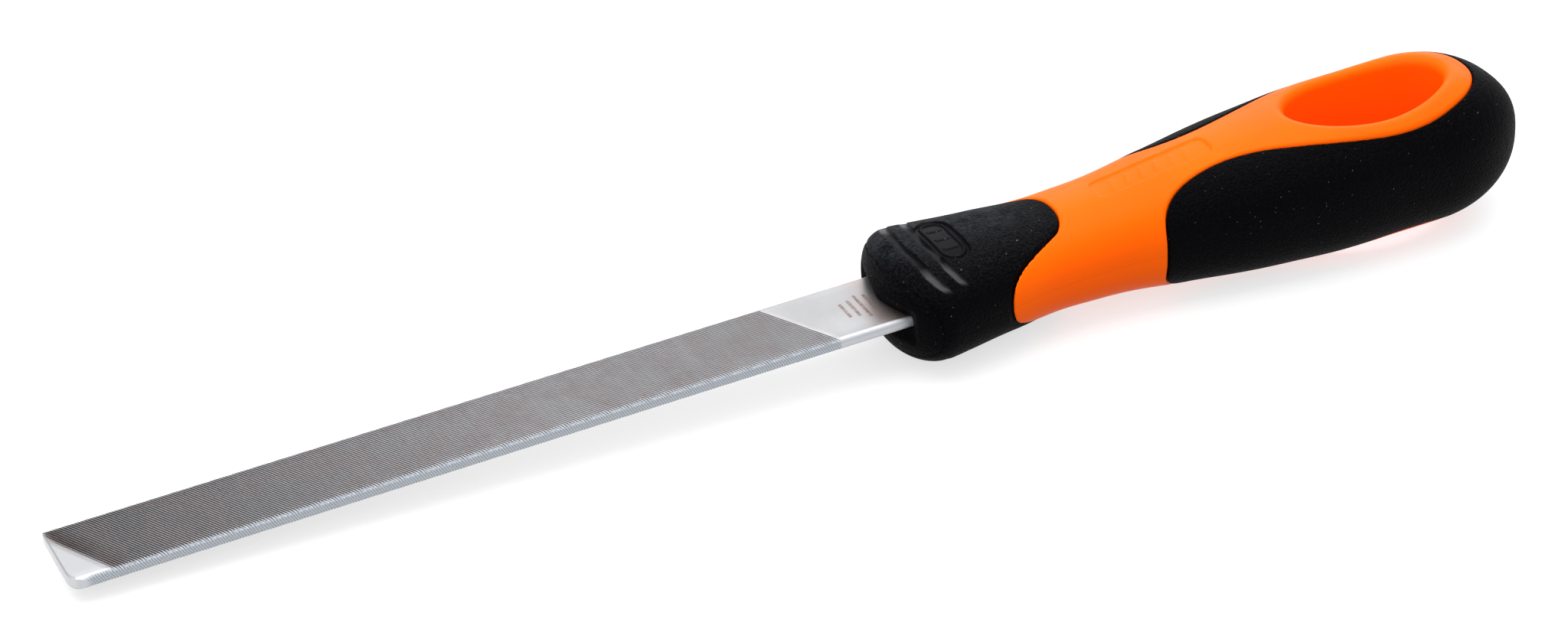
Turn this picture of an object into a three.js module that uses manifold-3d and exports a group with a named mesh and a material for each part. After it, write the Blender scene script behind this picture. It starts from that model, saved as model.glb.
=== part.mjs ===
// Flat hand file, 150 mm, with a two-colour moulded handle.
// Millimetres, +Z up. X runs along the file from its tip towards the handle's end, and the
// finished group is shifted so that the origin is the centre of the whole file.

import * as THREE from "three";
import { mergeVertices } from "three/addons/utils/BufferGeometryUtils.js";
import Module from "manifold-3d";

const wasm = await Module();
wasm.setup();

// ---------------------------------------------------------------- driving dimensions

const bladeLength = 150; // cut part and heel, without the tang
const bladeWidth = 16;
const bladeThickness = 2.3;
const bladeEdgeRound = 0.9; // radius along the two long edges
const tipCornerNear = 3; // corner radius at the tip on the -Y side
const tipCornerFar = 1; // corner radius at the tip on the +Y side
const cutEnd = 130.1; // X on the centre line where the cut faces end and the plain heel starts
const cutRise = 0.05; // the cut raises both faces this much above the plain heel
const cutRamp = 0.4; // length of the slope between the two
const cutSlant = 0.527; // the cut's end runs towards the tip by this much per mm of Y

const tangShoulder = 7; // length over which the heel narrows to the tang
const tangRootWidth = 8;
const tangEndWidth = 3;
const tangLength = 42;
const tangEndThickness = 1.8;
const tangEdgeRound = 0.5;

const handleFront = 144.6; // X of the foremost point of the handle
const handleLength = 126;
const sectionPower = 2.4; // 2 is an ellipse, higher is squarer
const noseLength = 8.4;
const nosePowerWide = 2; // roundness of the nose seen from above
const nosePowerHigh = 2.8; // roundness of the nose seen from the side
const tailLength = 20;
const tailPower = 2.14;

// Half width and half height of the handle, at distances from the handle's front.
const handleStations = [
  { at: 0, halfWidth: 14.9, halfHeight: 9.8 },
  { at: 7.4, halfWidth: 14.7, halfHeight: 9.7 },
  { at: 21.4, halfWidth: 12.3, halfHeight: 9.2 },
  { at: 37.4, halfWidth: 10.9, halfHeight: 9.1 },
  { at: 55.4, halfWidth: 12.5, halfHeight: 10.9 },
  { at: 75.4, halfWidth: 14.9, halfHeight: 12.9 },
  { at: 97.4, halfWidth: 15.5, halfHeight: 13.8 },
  { at: 126, halfWidth: 14.3, halfHeight: 14 },
];

const gripThickness = 2; // soft layer over the core
const gap = 0.3; // between pieces that touch
const mouthFlare = 2; // the slot for the blade widens by this much at the handle's front

// Front grip, seen from above: a collar whose rear edge runs out into a tongue.
const collarSideEnd = 163.8; // X where the collar ends at the sides
const collarSideHalf = 12.9; // half width where its edge leaves the side
const tongueEnd = 178.5; // X of the tongue's tip
const tongueHalf = 7;
const collarBend = 1.3; // how softly the edge turns in from the side
const tongueRun = 7.9; // length over which the edge swings into the tongue
const tongueFlare = 1.7;
const tongueShoulder = { along: 3.3, inward: 0.35 }; // where the tongue's round tip begins
const tongueRound = { along: 1.5, inward: 1, tip: 3.6 }; // shape of that round tip

// Rear grip, seen from above: it starts across the sides and leaves a strip of core free.
const rearGripStart = 194.8;
const stripNeck = { x: 208, half: 5.5 }; // narrowest place of the free strip
const stripWide = { x: 243, half: 11.7 }; // widest place
const stripEnd = 261.8; // X where the strip's round end stops
const stripEndFullness = 0.6; // 0.55 makes half an ellipse, more makes it squarer
const stripMouth = { flare: 6, bend: 2.6 }; // how the strip widens at the grip's front edge
const neckEase = { before: 6.5, after: 11 }; // how slowly the edge bends round the neck
const wideEase = 16; // and towards the widest place

// Hanging hole through the rear of the core, an ellipse with rounded lips.
const holeX = 241;
const holeHalfLength = 15.5;
const holeHalfWidth = 8.2;
const holeLip = 2.2;
const holePoints = 32; // points around the hole
const lipSteps = 4;
const plugRise = 6; // how far the solid that cuts the hole stands out of the handle

const ringPoints = 40; // points around each section of the handle
const bodyStep = 4.5; // mm between sections along the handle
const capSteps = 6; // sections in each rounded end
const curvePoints = 6; // points along each curve of a plan outline
const smallestSection = 0.5; // half size below which an inset shape ends flat
const weldDistance = 1e-4; // points closer than this are made one
const cutterHeight = 60; // plan outlines are pushed this far through the handle
const beyond = 25; // safely outside the handle on every side

const handleEnd = handleFront + handleLength;
const overallLength = handleEnd;

// ---------------------------------------------------------------- shape of the handle

// A smooth curve through the stations' values of one field, as a function of distance.
function smoothProfile(stations, field) {
  const at = stations.map((s) => s.at);
  const value = stations.map((s) => s[field]);
  const last = at.length - 1;
  const slope = at.map((_, i) => {
    const lo = Math.max(i - 1, 0);
    const hi = Math.min(i + 1, last);
    return (value[hi] - value[lo]) / (at[hi] - at[lo]);
  });
  return (distance) => {
    const d = THREE.MathUtils.clamp(distance, at[0], at[last]);
    let i = 0;
    while (i < last - 1 && d > at[i + 1]) i += 1;
    const span = at[i + 1] - at[i];
    const t = (d - at[i]) / span;
    const a = value[i] + t * span * slope[i];
    const b = value[i + 1] - (1 - t) * span * slope[i + 1];
    const blend = t * t * (3 - 2 * t);
    return a * (1 - blend) + b * blend;
  };
}

const halfWidthAt = smoothProfile(handleStations, "halfWidth");
const halfHeightAt = smoothProfile(handleStations, "halfHeight");

// Falls from 1 to 0 as s goes from 0 to 1, along a rounded quarter.
function roundedQuarter(s, power) {
  return (1 - Math.min(Math.max(s, 0), 1) ** power) ** (1 / power);
}

// Half width and half height of the handle at x, both rounded down to nothing at its ends.
function handleSize(x) {
  const fromFront = x - handleFront;
  const nose = 1 - fromFront / noseLength;
  const tail = 1 - (handleEnd - x) / tailLength;
  const round = roundedQuarter(tail, tailPower);
  return {
    halfWidth: halfWidthAt(fromFront) * roundedQuarter(nose, nosePowerWide) * round,
    halfHeight: halfHeightAt(fromFront) * roundedQuarter(nose, nosePowerHigh) * round,
  };
}

// One closed section of the handle in the plane at x, drawn inset by a distance.
function handleRing(x, sectionX, inset) {
  const size = handleSize(sectionX);
  const halfWidth = size.halfWidth - inset;
  const halfHeight = size.halfHeight - inset;
  const exponent = 2 / sectionPower;
  const ring = [];
  for (let i = 0; i < ringPoints; i += 1) {
    const turn = (2 * Math.PI * i) / ringPoints;
    const c = Math.cos(turn);
    const s = Math.sin(turn);
    const y = halfWidth * Math.sign(c) * Math.abs(c) ** exponent;
    const z = halfHeight * Math.sign(s) * Math.abs(s) ** exponent;
    ring.push(new THREE.Vector3(x, y, z));
  }
  return ring;
}

// X of every section, close together in the rounded ends.
function handleSectionPlaces() {
  const places = [];
  for (let i = 1; i <= capSteps; i += 1) {
    places.push(handleFront + noseLength * (1 - Math.cos((i / capSteps) * (Math.PI / 2))));
  }
  const bodyStart = handleFront + noseLength;
  const bodyEnd = handleEnd - tailLength;
  const steps = Math.round((bodyEnd - bodyStart) / bodyStep);
  for (let i = 1; i < steps; i += 1) {
    places.push(bodyStart + ((bodyEnd - bodyStart) * i) / steps);
  }
  for (let i = 0; i < capSteps; i += 1) {
    places.push(bodyEnd + tailLength * Math.sin((i / capSteps) * (Math.PI / 2)));
  }
  return places;
}

// ---------------------------------------------------------------- solids

function ringCentre(ring) {
  const sum = ring.reduce((total, point) => total.add(point), new THREE.Vector3());
  return sum.divideScalar(ring.length);
}

// A closed mesh through a row of rings that all have the same number of points. Each end
// closes on one point, which is the middle of the end ring unless another is given.
function loft(rings, startPoint = ringCentre(rings[0]), endPoint = ringCentre(rings.at(-1))) {
  const count = rings[0].length;
  const points = [...rings.flat(), startPoint, endPoint];
  const startCentre = points.length - 2;
  const endCentre = points.length - 1;
  const lastRing = (rings.length - 1) * count;
  const faces = [];
  for (let j = 0; j < count; j += 1) {
    const k = (j + 1) % count;
    faces.push(startCentre, k, j);
    faces.push(endCentre, lastRing + j, lastRing + k);
    for (let i = 0; i < rings.length - 1; i += 1) {
      const a = i * count;
      const b = a + count;
      faces.push(a + j, a + k, b + k);
      faces.push(a + j, b + k, b + j);
    }
  }
  const geometry = new THREE.BufferGeometry();
  const coordinates = points.flatMap((point) => point.toArray());
  geometry.setAttribute("position", new THREE.Float32BufferAttribute(coordinates, 3));
  geometry.setIndex(faces);
  return geometry;
}

function toSolid(geometry) {
  const bare = geometry.clone();
  bare.deleteAttribute("normal");
  bare.deleteAttribute("uv");
  const merged = mergeVertices(bare, weldDistance);
  const mesh = new wasm.Mesh({
    numProp: 3,
    vertProperties: new Float32Array(merged.attributes.position.array),
    triVerts: new Uint32Array(merged.index.array),
  });
  return new wasm.Manifold(mesh);
}

function toGeometry(solid) {
  const mesh = solid.getMesh();
  const geometry = new THREE.BufferGeometry();
  geometry.setAttribute("position", new THREE.BufferAttribute(mesh.vertProperties, 3));
  geometry.setIndex(new THREE.BufferAttribute(mesh.triVerts, 1));
  const flat = geometry.toNonIndexed();
  flat.computeVertexNormals();
  return flat;
}

// The handle's whole shape with its pointed ends.
function handleSolid() {
  const rings = handleSectionPlaces().map((x) => handleRing(x, x, 0));
  const front = new THREE.Vector3(handleFront, 0, 0);
  const end = new THREE.Vector3(handleEnd, 0, 0);
  return toSolid(loft(rings, front, end));
}

// The same shape a distance inside the handle's surface, with flat ends.
function insetSolid(inset) {
  const scale = (handleLength - 2 * inset) / handleLength;
  const places = handleSectionPlaces().filter((x) => {
    const size = handleSize(x);
    return Math.min(size.halfWidth, size.halfHeight) > inset + smallestSection;
  });
  const middle = handleFront + handleLength / 2;
  return toSolid(loft(places.map((x) => handleRing(middle + (x - middle) * scale, x, inset))));
}

// The same outline with every point moved outwards by a distance. The outline runs anticlockwise.
function grownOutline(points, distance) {
  const count = points.length;
  return points.map((point, i) => {
    const before = new THREE.Vector2().subVectors(point, points[(i + count - 1) % count]).normalize();
    const after = new THREE.Vector2().subVectors(points[(i + 1) % count], point).normalize();
    const along = before.add(after).normalize();
    return new THREE.Vector2(point.x + along.y * distance, point.y - along.x * distance);
  });
}

// A plan outline, grown by a distance and pushed up and down through the whole handle.
function planSolid(shape, grow = 0) {
  const outline = new THREE.Shape(grownOutline(shape.getPoints(curvePoints), grow));
  const geometry = new THREE.ExtrudeGeometry(outline, { depth: cutterHeight, bevelEnabled: false });
  geometry.translate(0, 0, -cutterHeight / 2);
  return toSolid(geometry);
}

// ---------------------------------------------------------------- plan outlines of the grips

// The part of the plan that the front grip covers.
function frontGripPlan() {
  const side = collarSideEnd;
  const sideHalf = collarSideHalf;
  const bendHalf = sideHalf - collarBend;
  const runX = tongueEnd - tongueRun;
  const runHalf = tongueHalf + tongueFlare;
  const shoulderX = tongueEnd - tongueShoulder.along;
  const shoulderHalf = tongueHalf - tongueShoulder.inward;
  const roundX = tongueEnd - tongueRound.along;
  const roundHalf = tongueHalf - tongueRound.inward;
  const tipHalf = tongueRound.tip;
  const shape = new THREE.Shape();
  shape.moveTo(handleFront - beyond, -beyond);
  shape.lineTo(side, -beyond);
  shape.lineTo(side, -sideHalf);
  shape.bezierCurveTo(side, -bendHalf, runX, -runHalf, shoulderX, -shoulderHalf);
  shape.bezierCurveTo(roundX, -roundHalf, tongueEnd, -tipHalf, tongueEnd, 0);
  shape.bezierCurveTo(tongueEnd, tipHalf, roundX, roundHalf, shoulderX, shoulderHalf);
  shape.bezierCurveTo(runX, runHalf, side, bendHalf, side, sideHalf);
  shape.lineTo(side, beyond);
  shape.lineTo(handleFront - beyond, beyond);
  return shape;
}

// The part of the plan that the rear grip covers.
function rearGripPlan() {
  const start = rearGripStart;
  const mouthHalf = stripNeck.half + stripMouth.flare;
  const mouthBend = stripNeck.half + stripMouth.bend;
  const neckX = stripNeck.x;
  const neckHalf = stripNeck.half;
  const wideX = stripWide.x;
  const wideHalf = stripWide.half;
  const endX = wideX + (stripEnd - wideX) * stripEndFullness;
  const endHalf = wideHalf * stripEndFullness;
  const shape = new THREE.Shape();
  shape.moveTo(start, -beyond);
  shape.lineTo(handleEnd + beyond, -beyond);
  shape.lineTo(handleEnd + beyond, beyond);
  shape.lineTo(start, beyond);
  shape.lineTo(start, mouthHalf);
  shape.bezierCurveTo(start, mouthBend, neckX - neckEase.before, neckHalf, neckX, neckHalf);
  shape.bezierCurveTo(neckX + neckEase.after, neckHalf, wideX - wideEase, wideHalf, wideX, wideHalf);
  shape.bezierCurveTo(endX, wideHalf, stripEnd, endHalf, stripEnd, 0);
  shape.bezierCurveTo(stripEnd, -endHalf, endX, -wideHalf, wideX, -wideHalf);
  shape.bezierCurveTo(wideX - wideEase, -wideHalf, neckX + neckEase.after, -neckHalf, neckX, -neckHalf);
  shape.bezierCurveTo(neckX - neckEase.before, -neckHalf, start, -mouthBend, start, -mouthHalf);
  return shape;
}

// ---------------------------------------------------------------- blade

// A rectangular section at x with its four corners rounded. With a slant, the section turns away
// from the plane across the blade, so that its points lie further back for a smaller Y.
function barRing(x, width, thickness, corner, slant = 0) {
  const y = width / 2;
  const z = thickness / 2;
  const d = corner * (1 - Math.SQRT1_2); // how far the middle of a rounded corner lies inside it
  const quarter = [[y, z - corner], [y - d, z - d], [y - corner, z]];
  const half = [...quarter, ...quarter.map(([py, pz]) => [-py, pz]).reverse()];
  const outline = [...half, ...half.map(([py, pz]) => [-py, -pz])];
  return outline.map(([py, pz]) => new THREE.Vector3(x - slant * py, py, pz));
}

// The blade seen from above, with its two corner radii at the tip.
function bladePlan() {
  const half = bladeWidth / 2;
  const shape = new THREE.Shape();
  const farEnd = bladeLength + tangShoulder + tangLength + beyond;
  shape.moveTo(farEnd, -half - beyond);
  shape.lineTo(farEnd, half + beyond);
  shape.lineTo(tipCornerFar, half + beyond);
  shape.lineTo(tipCornerFar, half);
  shape.absarc(tipCornerFar, half - tipCornerFar, tipCornerFar, Math.PI / 2, Math.PI, false);
  shape.absarc(tipCornerNear, -half + tipCornerNear, tipCornerNear, Math.PI, Math.PI * 1.5, false);
  shape.lineTo(tipCornerNear, -half - beyond);
  return shape;
}

// Blade, shoulders and tang as one forged bar, made larger all round by a distance.
function bladeSolid(grow) {
  const extra = 2 * grow;
  const width = bladeWidth + extra;
  const cutThick = bladeThickness + extra;
  const heelThick = cutThick - 2 * cutRise;
  const shoulderEnd = bladeLength + tangShoulder;
  const tangEnd = shoulderEnd + tangLength;
  const rings = [
    barRing(0, width, cutThick, bladeEdgeRound),
    barRing(cutEnd, width, cutThick, bladeEdgeRound, cutSlant),
    barRing(cutEnd + cutRamp, width, heelThick, bladeEdgeRound, cutSlant),
    barRing(bladeLength + grow, width, heelThick, bladeEdgeRound),
    barRing(shoulderEnd + grow, tangRootWidth + extra, heelThick, bladeEdgeRound),
    barRing(tangEnd + grow, tangEndWidth + extra, tangEndThickness + extra, tangEdgeRound),
  ];
  return toSolid(loft(rings));
}

function makeBlade() {
  return bladeSolid(0).intersect(planSolid(bladePlan()));
}

// ---------------------------------------------------------------- handle pieces

// An elliptical plug that fills the hanging hole and flares where the hole's lips are rounded.
function hangingHolePlug() {
  const top = handleSize(holeX).halfHeight;
  const levels = [{ z: top - holeLip, flare: 0 }];
  for (let i = 1; i <= lipSteps; i += 1) {
    const turn = (i / lipSteps) * (Math.PI / 2);
    levels.push({ z: top - holeLip + holeLip * Math.sin(turn), flare: holeLip * (1 - Math.cos(turn)) });
  }
  levels.push({ z: top + plugRise, flare: holeLip });
  const all = [...levels.map((l) => ({ ...l, z: -l.z })).reverse(), ...levels];
  const rings = all.map(({ z, flare }) => {
    const ring = [];
    for (let i = 0; i < holePoints; i += 1) {
      const turn = (2 * Math.PI * i) / holePoints;
      const x = holeX + (holeHalfLength + flare) * Math.cos(turn);
      const y = (holeHalfWidth + flare) * Math.sin(turn);
      ring.push(new THREE.Vector3(x, y, z));
    }
    return ring;
  });
  return toSolid(loft(rings));
}

function makeHandleCore() {
  const underGrips = insetSolid(gripThickness + gap);
  const gripRoom = planSolid(frontGripPlan(), gap).add(planSolid(rearGripPlan(), gap));
  const recess = gripRoom.subtract(underGrips);
  return handleSolid().subtract(recess).subtract(hangingHolePlug()).subtract(bladeSolid(gap));
}

// The flared mouth of the slot for the blade, down to the slot's own size.
function mouthSolid() {
  const width = bladeWidth + 2 * gap;
  const thick = bladeThickness + 2 * gap;
  const wider = 4 * mouthFlare; // each wall slopes outwards at 45 degrees over two flares
  const rings = [
    barRing(handleFront - mouthFlare, width + wider, thick + wider, mouthFlare),
    barRing(handleFront + mouthFlare, width, thick, bladeEdgeRound),
  ];
  return toSolid(loft(rings));
}

function makeFrontGrip() {
  const shell = handleSolid().subtract(insetSolid(gripThickness));
  const slot = bladeSolid(gap).add(mouthSolid());
  return shell.intersect(planSolid(frontGripPlan())).subtract(slot);
}

function makeRearGrip() {
  const shell = handleSolid().subtract(insetSolid(gripThickness));
  return shell.intersect(planSolid(rearGripPlan()));
}

// ---------------------------------------------------------------- the assembly

function addPiece(group, name, solid, look) {
  const mesh = new THREE.Mesh(toGeometry(solid), new THREE.MeshStandardMaterial(look));
  mesh.name = name;
  group.add(mesh);
}

const steelLook = { color: 0x9a9c9e, roughness: 0.38, metalness: 1 };
const orangeLook = { color: 0xff6a0a, roughness: 0.42, metalness: 0 };
const blackLook = { color: 0x141516, roughness: 0.78, metalness: 0 };

const flatFile = new THREE.Group();
flatFile.name = "flat_file";
addPiece(flatFile, "file_blade", makeBlade(), steelLook);
addPiece(flatFile, "handle_core", makeHandleCore(), orangeLook);
addPiece(flatFile, "front_grip", makeFrontGrip(), blackLook);
addPiece(flatFile, "rear_grip", makeRearGrip(), blackLook);
flatFile.position.x = -overallLength / 2;

export default flatFile;
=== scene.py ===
"""Looks for the flat file: a file-cut steel blade in a handle of orange plastic and black soft grips.

Every shape is worked out in millimetres from the blade's tip, with X along the file, Y across it
and Z out of the upper cut face. add_mesh() and make_blade() move it into the frame, in metres.
"""

import math

import bmesh
import bpy
import numpy as np
from mathutils import Matrix, Vector


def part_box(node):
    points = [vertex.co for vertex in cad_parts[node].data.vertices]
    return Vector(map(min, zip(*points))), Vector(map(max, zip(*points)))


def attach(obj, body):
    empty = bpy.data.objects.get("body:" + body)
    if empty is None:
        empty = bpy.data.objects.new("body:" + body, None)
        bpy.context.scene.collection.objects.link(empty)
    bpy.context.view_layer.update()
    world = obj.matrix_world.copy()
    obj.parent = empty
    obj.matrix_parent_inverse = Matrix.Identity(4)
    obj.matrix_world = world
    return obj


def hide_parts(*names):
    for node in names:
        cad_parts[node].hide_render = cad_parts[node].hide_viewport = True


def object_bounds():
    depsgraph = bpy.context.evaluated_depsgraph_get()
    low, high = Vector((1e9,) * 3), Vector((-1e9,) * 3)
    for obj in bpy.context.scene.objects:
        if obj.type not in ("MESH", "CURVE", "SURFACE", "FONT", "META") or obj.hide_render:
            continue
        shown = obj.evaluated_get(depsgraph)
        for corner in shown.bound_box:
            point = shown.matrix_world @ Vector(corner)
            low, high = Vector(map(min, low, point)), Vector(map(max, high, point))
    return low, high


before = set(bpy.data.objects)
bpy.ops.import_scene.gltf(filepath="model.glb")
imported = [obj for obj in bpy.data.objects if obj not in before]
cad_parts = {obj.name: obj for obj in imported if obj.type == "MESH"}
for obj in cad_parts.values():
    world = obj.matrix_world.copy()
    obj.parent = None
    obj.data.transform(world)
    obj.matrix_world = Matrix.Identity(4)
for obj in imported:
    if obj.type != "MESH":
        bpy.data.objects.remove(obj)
cad_low, cad_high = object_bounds()

# ------------------------------------------------------------------ driving dimensions, in mm

MM = 0.001
blade_low, blade_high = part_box("file_blade")
TIP_X = blade_low.x
BLADE_HALF = (blade_high.y - blade_low.y) / 2 / MM
BLADE_HALF_THICK = (blade_high.z - blade_low.z) / 2 / MM
TANG_END = (blade_high.x - blade_low.x) / MM
HANDLE_END = (cad_high.x - TIP_X) / MM

HEEL_END = 150.0            # where the full width of the blade ends, inside the handle
SHOULDER_END = 157.0        # where the shoulders have narrowed to the tang
TANG_ROOT_SCALE = 0.5       # tang width at the shoulders, as a part of the blade's width
TANG_END_SCALE = 0.19       # the same at the tang's end
EDGE_ROUND = 1.05           # radius of the blade's two rounded long edges
TIP_CORNER_NEAR = 3.0       # radius of the tip's corners, seen from above
TIP_CORNER_FAR = 1.0
TIP_BEVEL = 0.28            # along X, of the tip's upper and lower edges
TIP_BEVEL_LEAN = 1.1        # rise of the bevel's normal per mm along X
HEEL_DROP = 0.03            # the plain heel lies this far below the cut faces
HEEL_STEP = 0.4             # behind the last tooth, over which it drops

TOOTH_PITCH = 0.519         # along X
TOOTH_SLANT = 0.527         # how far a tooth line moves towards the tip per mm of Y
FIRST_TOOTH = 2.05          # X of the first and last tooth lines on the centre line
LAST_TOOTH = 130.1
TOOTH_DEPTH = 0.17
TOOTH_FADE = 3.5            # teeth over which the cut starts
TOOTH_RISE = 0.14           # part of the pitch from a tooth's gullet to its crest
EDGE_PITCH = 0.454
EDGE_TEETH_START = 2.4
EDGE_TEETH_END = 134.2
EDGE_TEETH_FADE = (1.5, 0.6)    # along X, after the start and before the end
EDGE_DEPTH = 0.11
EDGE_RISE = 0.3
EDGE_LEAN = 0.55            # mm along X per mm down the edge

HANDLE_FRONT = 144.6
NOSE_LENGTH = 8.4
NOSE_POWER_WIDE = 2.0       # of the nose's rounding, seen from above and from the side
NOSE_POWER_HIGH = 2.8
TAIL_LENGTH = 20.0
TAIL_POWER = 2.14
SECTION_POWER = 2.4
# the handle's half width and half height at distances from its front
STATION_AT = [0.0, 7.4, 21.4, 37.4, 55.4, 75.4, 97.4, 126.0]
STATION_HALF_WIDTH = [14.9, 14.7, 12.3, 10.9, 12.5, 14.9, 15.5, 14.3]
STATION_HALF_HEIGHT = [9.8, 9.7, 9.2, 9.1, 10.9, 12.9, 13.8, 14.0]

GRIP_THICKNESS = 1.9
NOSE_EXTRA = 3.5            # the collar is this much thicker round the slot's mouth
NOSE_DEPTH = (2.0, 9.0)     # behind the handle's front, where that ends
SEAM_GAP = 0.08             # half the gap between a grip's edge and the core
GRIP_EDGE_ROUND = 0.5
CORE_EDGE_ROUND = 0.45
SLOT_CLEARANCE = 0.15       # between the blade and the handle round it
SLOT_CORNER = 0.8
MOUTH_FLARE = 2.0           # the slot widens by this much at the collar's skin
MOUTH_ROUND = 0.4

COLLAR_SIDE_END = 163.8     # X where the collar ends on the handle's side
COLLAR_SIDE_HALF = 12.9     # Y where its edge turns from there towards the tongue
COLLAR_BEND = 1.3           # length of the pull that starts the curve there
TONGUE_END = 178.5
TONGUE_HALF = 7.0
TONGUE_RUN = 7.9            # the pull that ends that curve is this far before the tongue's end,
TONGUE_FLARE = 1.7          # and this far outside its half width
TONGUE_SHOULDER = (3.3, 0.35)   # where its end starts to round, in from its length and half width
TONGUE_ROUND = (1.5, 1.0)   # the same for the pull that starts the rounding
TONGUE_TIP = 3.6            # Y of the pull that ends it
REAR_START = 194.8          # X where the rear grip starts on the handle's side
STRIP_NECK = (208.0, 5.5)   # X and half width of the free strip's narrowest place
STRIP_MOUTH = (6.0, 2.6)    # added to that half width at the strip's mouth, and at its pull
STRIP_WIDE = (243.0, 11.7)  # X and half width of its widest place
NECK_EASE = (6.5, 11.0)     # along X, from the neck to the pulls before and after it
WIDE_EASE = 16.0            # along X, from the widest place to the pull before it
STRIP_END = 261.8
STRIP_END_FULLNESS = 0.6    # 0.55 makes half an ellipse, more makes it squarer
FAR_OUT = 40.0              # safely outside the handle

HOLE_X = 241.0
HOLE_HALF_LENGTH = 15.5
HOLE_HALF_WIDTH = 8.2
HOLE_LIP = 2.2

GROOVE_DEPTH = 0.5
GROOVE_RAMP = (-1.1, 0.45)  # X, from a groove's line, over which its floor slopes down
GROOVE_WALL = 0.75          # X where its steep wall ends
GROOVE_FADE = (1.6, 0.2)    # along Y, before and after its end, over which it fades
GROOVE_POLISH = (0.2, 0.5)  # X, from the start of the slope, over which its floor gets smooth
GROOVES = [                 # X and |Y| along each finger groove of the collar
    [(150.0, 0.0), (150.8, 8.4), (151.5, 10.3), (152.8, 12.2)],
    [(153.6, 0.0), (154.5, 8.1), (155.2, 9.9), (156.1, 11.6)],
]
CREASE = [(145.9, 0.0), (146.6, 6.0), (147.9, 9.8), (149.5, 12.7), (150.3, 13.9), (150.4, 16.0)]
CREASE_DEPTH = 0.16
CREASE_HALF = 0.22
BADGE_X = 157.6
BADGE_HALF = 6.6            # along Y
BADGE_RADIUS = 3.0          # of its round ends
BADGE_STEPS = [(BADGE_RADIUS, 0.55), (2.3, -0.4), (1.85, 0.3)]  # radius, and depth added in it
BADGE_STEP_WIDTH = 0.16     # half the width of the wall at each step
BADGE_POLISH = 0.15         # width of the change from its smooth skin to the grained one
BADGE_RIBS = (-3.0, 0.0, 3.0)   # Y of its plain ribs
BADGE_RIB_REACH = 1.0       # along X, from the middle to where a rib's end starts to round
BADGE_RIB_HALF = 0.5
BADGE_RIB_FLAT = 0.5        # the part of a rib's half width that is flat
BADGE_RIB_RISE = 0.14
PANEL_MIDDLE = 198.0
PANEL_SIZE = (11.2, 2.6)    # half its length and half its width
PANEL_CORNER = 1.5
PANEL_DEPTH = 0.35
PANEL_WALL = 0.25           # half the width of the wall round it
PANEL_RIBS = [190.4 + 2.9 * k for k in range(6)]    # X of its plain ribs
PANEL_RIB_LEAN = 0.35       # along X per mm of Y
PANEL_RIB_REACH = 1.1       # along Y, from the middle to where a rib's end starts to round
PANEL_RIB_EDGE = (0.25, 0.65)   # from a rib's line, over which it falls off
PANEL_RIB_RISE = 0.1

CORE_CELL = 0.4             # cells of the grids that the handle's pieces are made on
COLLAR_CELL = 0.24
PALM_CELL = 0.36
GRID_MARGIN = 1.0           # the grids reach this far past the handle

# ------------------------------------------------------------------ shape of the handle


def smooth_profile(at, value):
    """A smooth curve through the values, as a function of distance from the handle's front."""
    at, value = np.array(at), np.array(value)
    before = np.maximum(np.arange(len(at)) - 1, 0)
    after = np.minimum(np.arange(len(at)) + 1, len(at) - 1)
    slope = (value[after] - value[before]) / (at[after] - at[before])

    def evaluate(distance):
        d = np.clip(distance, at[0], at[-1])
        i = np.clip(np.searchsorted(at, d, side="left") - 1, 0, len(at) - 2)
        span = at[i + 1] - at[i]
        t = (d - at[i]) / span
        a = value[i] + t * span * slope[i]
        b = value[i + 1] - (1 - t) * span * slope[i + 1]
        mix = t * t * (3 - 2 * t)
        return a * (1 - mix) + b * mix

    return evaluate


half_width_at = smooth_profile(STATION_AT, STATION_HALF_WIDTH)
half_height_at = smooth_profile(STATION_AT, STATION_HALF_HEIGHT)


def rounded_quarter(s, power):
    """Falls from 1 to 0 as s goes from 0 to 1."""
    return np.maximum(1 - np.clip(s, 0, 1) ** power, 1e-6) ** (1 / power)


def section_level(x, y, z):
    """1 on the handle's surface, less inside and more outside."""
    from_front = x - HANDLE_FRONT
    nose = 1 - from_front / NOSE_LENGTH
    tail = rounded_quarter(1 - (HANDLE_END - x) / TAIL_LENGTH, TAIL_POWER)
    wide = half_width_at(from_front) * rounded_quarter(nose, NOSE_POWER_WIDE) * tail
    high = half_height_at(from_front) * rounded_quarter(nose, NOSE_POWER_HIGH) * tail
    power = SECTION_POWER
    return (np.abs(y / wide) ** power + np.abs(z / high) ** power + 1e-9) ** (1 / power)


def skin_distance(x, y, z):
    """Distance outside the handle's surface, negative inside, true near the surface."""
    step = 0.01
    level = section_level(x, y, z)
    slope_x = (section_level(x + step, y, z) - level) / step
    slope_y = (section_level(x, y + step, z) - level) / step
    slope_z = (section_level(x, y, z + step) - level) / step
    steepness = np.sqrt(slope_x ** 2 + slope_y ** 2 + slope_z ** 2)
    return (level - 1) / np.maximum(steepness, 1e-3)


# ------------------------------------------------------------------ outlines seen from above


def bezier(p0, p1, p2, p3, count=24):
    """Points on a cubic Bezier curve, without its first one."""
    t = np.linspace(0, 1, count + 1)[1:, None]
    p0, p1, p2, p3 = (np.array(p, float) for p in (p0, p1, p2, p3))
    return (1 - t) ** 3 * p0 + 3 * t * (1 - t) ** 2 * p1 + 3 * t * t * (1 - t) * p2 + t ** 3 * p3


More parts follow.
